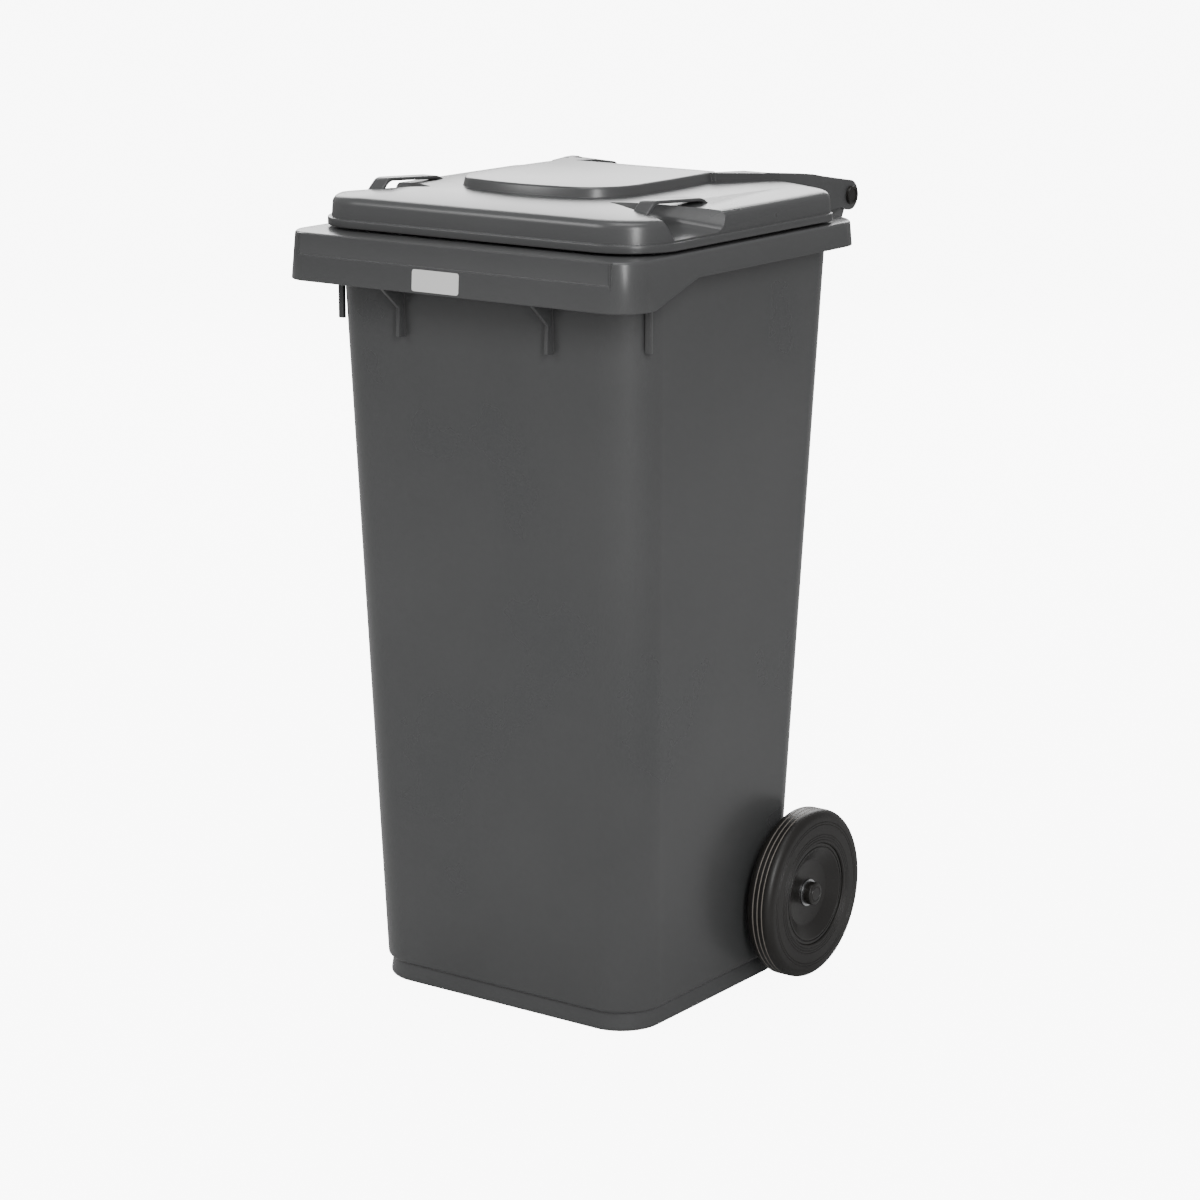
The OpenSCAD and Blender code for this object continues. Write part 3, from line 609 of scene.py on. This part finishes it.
lid = lid_body("lid")
panel = plate("panel", panel_line(0, 0.045), edge_z - 0.004, panel_z, "Z")
open_faces(panel, lambda middle, way: way.z > 0.9)
bpy.ops.transform.resize(value=(0.965, 0.972, 1), center_override=(0, panel_rear, panel_z))
bpy.ops.object.mode_set(mode="OBJECT")
round_edges(panel, 0.0028, 4, lambda middle, way: middle.z > panel_z - 1e-4)
weld_on(lid, panel)
for side in (-1, 1):
    weld_on(lid, shoulder(side, 0))
cut_away(lid, lid_cover("inside", lid_wall, 0))
cut_away(lid, plate("panel_inside", panel_line(lid_wall + 0.005, 0.040), edge_z - 0.006,
                    panel_z - lid_wall, "Z"))
for side in (-1, 1):
    cut_away(lid, shoulder(side, lid_wall))
for side in (-1, 1):
    scoop_wall = pocket(side, lid_wall)
    boolean(scoop_wall, lid_body("trim"), "INTERSECT")
    weld_on(lid, scoop_wall)
    cut_away(lid, pocket(side, 0))
    weld_on(lid, arm(side))
    eye = rod("eye", side * eye_inner, side * eye_outer, eye_r, hinge_y, hinge_z)
    round_edges(eye, 0.0012, 3, lambda middle, way: abs(abs(middle.x) - eye_outer) < 1e-4)
    weld_on(lid, eye)
    cut_away(lid, rod("eye_bore", side * (eye_inner - 0.001), side * (eye_outer + 0.001), 0.00856,
                      hinge_y, hinge_z))

# Each grip is a strap that stands on the lid in front of and behind the scoop.
grip_outer = lid_half - 0.040
grip_start = pocket_front + 0.012
grip_end = grip_start + 0.137
grip_foot = edge_z - 0.002
grip_high = rim_top + 0.052
grip_low = grip_high - 0.0055
for side in (-1, 1):
    grip = plate("grip", [(grip_start, grip_foot), (grip_start + 0.022, grip_high),
                          (grip_end - 0.025, grip_low), (grip_end, grip_foot), (grip_end - 0.007, grip_foot),
                          (grip_end - 0.027, grip_low - 0.004), (grip_start + 0.024, grip_high - 0.004),
                          (grip_start + 0.007, grip_foot)],
                 side * (grip_outer - 0.020), side * grip_outer)
    round_edges(grip, 0.006, 5, lambda middle, way: abs(way.x) > 0.9 and middle.z > grip_low - 0.001)
    round_edges(grip, 0.0012, 3, lambda middle, way: abs(way.x) < 0.5 and middle.z > grip_foot + 0.001)
    weld_on(lid, grip)
finish_piece(lid, "lid_moulding", "lid", "grey_plastic", grey_plastic, "lid")

# ---- Hinge sleeves ----
# A black flanged sleeve is pushed through each eye into the lug, and a plug pushed into it spreads
# its barbs. Its head is a ring with rounded edges round a recess that shows the plug's end.

black_plastic = moulded_plastic("black_plastic", (0.0080, 0.0070, 0.0062), (0.014, 0.0125, 0.011),
                                0.33, 0.10, 0.0008)


def turned(name, profile, y, z, steps=96):
    """A body turned about the line along X through (y, z), from an outline of (x, radius) points."""
    bpy.ops.object.select_all(action="DESELECT")
    bpy.ops.mesh.primitive_circle_add(vertices=len(profile), radius=1, fill_type="NOTHING")
    piece = bpy.context.object
    piece.name = name
    for point, (x, radius) in zip(piece.data.vertices, profile):
        point.co = (x, y, z + radius)
    bpy.ops.object.mode_set(mode="EDIT")
    bpy.ops.mesh.select_all(action="SELECT")
    bpy.ops.mesh.spin(steps=steps, angle=2 * pi, center=(0, y, z), axis=(1, 0, 0))
    bpy.ops.mesh.select_all(action="SELECT")
    bpy.ops.mesh.remove_doubles(threshold=1e-6)
    bpy.ops.mesh.normals_make_consistent(inside=False)
    bpy.ops.object.mode_set(mode="OBJECT")
    return piece


for side, name in ((-1, "left"), (1, "right")):
    head = eye_outer + 0.0045
    sleeve = turned("sleeve", [(side * x, radius) for x, radius in (
        (0.1414, 0.0050), (head - 0.0040, 0.0050), (head - 0.0040, 0.0075), (head - 0.0004, 0.0075),
        (head, 0.0079), (head, 0.0099), (head - 0.0002, 0.0104), (head - 0.0007, 0.0106),
        (eye_outer + 0.0004, 0.0106), (eye_outer + 0.0004, 0.0085), (0.1424, 0.0085), (0.1414, 0.0078))],
        hinge_y, hinge_z, 64)
    finish_piece(sleeve, "sleeve_" + name, "bin", "black_plastic", black_plastic, "hinge_sleeve_" + name)

# ---- Wheels ----
# Each wheel is a black plastic hub with a solid rubber tyre. The tyre has rounded shoulders, two
# mould lines round its tread and fine rings on its wall. The hub's ring falls through a cone to a
# flat disc round the boss, and six spokes stiffen it from behind.

rubber = moulded_plastic("tyre_rubber", (0.0070, 0.0060, 0.0052), (0.013, 0.0115, 0.010), 0.42, 0.25, 0.0006)
# The flash's pale grey is a painted highlight that stands in for light caught by the mould-line ridges.
flash_highlight_rubber = moulded_plastic("flash_highlight_rubber", (0.20, 0.18, 0.16), (0.34, 0.31, 0.28), 0.62, 0.25, 0.0003)
tyre_low, tyre_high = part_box("tyre_right")
track = tyre_high[0]
tyre_inner = tyre_low[0]
tread_r = (tyre_high[2] - tyre_low[2]) / 2
seat_r = 0.061
shoulder_r = 0.0095
hub_inner = tyre_inner + 0.002
hub_face = track - 0.002
disc_face = track - 0.012
tread_lines = (tyre_inner + 0.0115, tyre_inner + 0.0175, tyre_inner + 0.0235)


def tyre_line():
    """Half the wheel's tyre in section, as (x, radius) points from the inner seat round the tread."""
    line = [(tyre_inner, seat_r), (tyre_inner, tread_r - shoulder_r)]
    turn_r = tread_r - shoulder_r
    for step in range(1, 8):
        turn = radians(step * 90 / 8)
        line.append((tyre_inner + shoulder_r - shoulder_r * cos(turn), turn_r + shoulder_r * sin(turn)))
    line.append((tyre_inner + shoulder_r, tread_r))
    for x in tread_lines:
        line += [(x - 0.0008, tread_r), (x - 0.0006, tread_r - 0.0008), (x + 0.0006, tread_r - 0.0008),
                 (x + 0.0008, tread_r)]
    line.append((track - shoulder_r, tread_r))
    for step in range(1, 8):
        turn = radians(90 - step * 90 / 8)
        line.append((track - shoulder_r + shoulder_r * cos(turn), turn_r + shoulder_r * sin(turn)))
    line.append((track, tread_r - shoulder_r))
    for radius in (0.086, 0.083, 0.071, 0.068, 0.065):
        line += [(track, radius + 0.0006), (track - 0.0005, radius + 0.0002),
                 (track - 0.0005, radius - 0.0002), (track, radius - 0.0006)]
    return line + [(track, seat_r + 0.0012), (track - 0.0012, seat_r)]


def flash_line(side, x):
    """The flash in one mould line in section, as (x, radius) points."""
    low_r = tread_r - 0.0010
    return [(side * (x - 0.0005), low_r), (side * (x - 0.0005), tread_r),
            (side * (x + 0.0005), tread_r), (side * (x + 0.0005), low_r)]


for side, name in ((-1, "left"), (1, "right")):
    tyre = turned("tyre", [(side * x, radius) for x, radius in tyre_line()], axle_y, axle_z, 128)
    finish_piece(tyre, "tyre_" + name + "_rubber", "wheel_" + name, "tyre_rubber", rubber, "tyre_" + name)
    # Thin flash stands in the tread's mould lines; its pale grey is a painted highlight for the light that
    # its ridges catch.
    flash = turned("flash", flash_line(side, tread_lines[0]), axle_y, axle_z, 128)
    for x in tread_lines[1:]:
        weld_on(flash, turned("flash", flash_line(side, x), axle_y, axle_z, 128))
    finish_piece(flash, "tread_flash_" + name, "wheel_" + name, "tyre_rubber", flash_highlight_rubber)
    hub = turned("hub", [(side * x, radius) for x, radius in (
        (hub_inner, seat_r), (hub_face - 0.0008, seat_r), (hub_face, seat_r - 0.0008), (hub_face, 0.0572),
        (hub_face - 0.0010, 0.0568), (hub_face - 0.0010, 0.0560), (hub_face, 0.0556), (hub_face, 0.0540),
        (hub_face - 0.0006, 0.0532), (disc_face + 0.0006, 0.0400), (disc_face, 0.0388), (disc_face, 0.0182),
        (disc_face, 0.01006), (hub_inner, 0.01006), (hub_inner, 0.0170), (disc_face - 0.0050, 0.0170),
        (disc_face - 0.0050, 0.0395), (hub_face - 0.0080, 0.0530), (hub_inner, 0.0530))], axle_y, axle_z, 96)
    for number in range(6):
        turn = number * pi / 3
        ends = sorted((side * (hub_inner + 0.003), side * (disc_face - 0.003)))
        spoke = block("spoke", (ends[0], axle_y - 0.002, axle_z + 0.015),
                      (ends[1], axle_y + 0.002, axle_z + 0.055))
        only(spoke)
        bpy.ops.object.mode_set(mode="EDIT")
        bpy.ops.mesh.select_all(action="SELECT")
        bpy.ops.transform.rotate(value=turn, orient_axis="X", center_override=(0, axle_y, axle_z))
        bpy.ops.object.mode_set(mode="OBJECT")
        weld_on(hub, spoke)
    finish_piece(hub, "hub_" + name, "wheel_" + name, "black_plastic", black_plastic, "wheel_hub_" + name)

# ---- Axle caps ----
# A black cap snaps over the push nut on each end of the axle. Its rim is rounded and a shallow
# groove runs round its face.

for side, name in ((-1, "left"), (1, "right")):
    cap_start = disc_face + 0.0019
    cap = turned("cap", [(side * x, radius) for x, radius in (
        (cap_start, 0.0117), (track - 0.0016, 0.0117), (track - 0.0016, 0.00002), (track, 0.00002),
        (track, 0.0078), (track - 0.0006, 0.0082), (track - 0.0006, 0.0088), (track, 0.0092),
        (track - 0.0002, 0.0118), (track - 0.0008, 0.0130), (track - 0.0016, 0.0135), (cap_start, 0.0135))],
        axle_y, axle_z, 64)
    finish_piece(cap, "cap_" + name, "bin", "black_plastic", black_plastic, "axle_cap_" + name)

# ---- Axle, spacers, washers, nuts and plugs ----
# The axle is a zinc-plated steel bar. It turns in the hubs and is held by washers and push nuts
# under the caps, and black spacer tubes keep the wheels clear of the tub.

zinc = moulded_plastic("galvanised_steel", (0.50, 0.51, 0.52), (0.62, 0.63, 0.64), 0.36, 0.05, 0.0004)
zinc.node_tree.nodes["Principled BSDF"].inputs["Metallic"].default_value = 1.0
for node, material in (("axle", zinc), ("axle_washer_left", zinc), ("axle_washer_right", zinc),
                       ("push_nut_left", zinc), ("push_nut_right", zinc),
                       ("axle_spacer_left", black_plastic), ("axle_spacer_right", black_plastic),
                       ("hinge_plug_left", black_plastic), ("hinge_plug_right", black_plastic)):
    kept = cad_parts[node]
    kept.data.materials.clear()
    kept.data.materials.append(material)

# ---- Label ----
# A pale film with rounded corners is stuck on the front skirt, left of the middle. It is blank:
# it carries no lettering and no lines.

label_paper = moulded_plastic("label_paper", (0.70, 0.70, 0.69), (0.78, 0.78, 0.77), 0.45, 0.03, 0.0001)
label_low, label_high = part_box("label")
lean = atan2(flare, skirt_deep)
label_z = (label_low[2] + label_high[2]) / 2
label_x = (label_low[0] + label_high[0]) / 2


def skirt_at(z):
    return front + flare * (z - rim_top + skirt_deep) / skirt_deep


def leaning(name, low, high, corner):
    """A thin sheet on the front skirt with rounded corners, from (x, z) to (x, z)."""
    sheet = block(name, (low[0], -0.0002, low[1]), (high[0], 0, high[1]))
    round_edges(sheet, corner, 5, lambda middle, way: abs(way.y) > 0.9)
    open_faces(sheet, lambda middle, way: True)
    bpy.ops.transform.rotate(value=lean, orient_axis="X", center_override=(0, 0, label_z))
    bpy.ops.transform.translate(value=(0, skirt_at(label_z) - 0.0001, 0))
    bpy.ops.object.mode_set(mode="OBJECT")
    return sheet


label = leaning("label", (label_x - 0.032, label_z - 0.0119), (label_x + 0.032, label_z + 0.0119), 0.003)
finish_piece(label, "label_film", "bin", "label_paper", label_paper, "label")
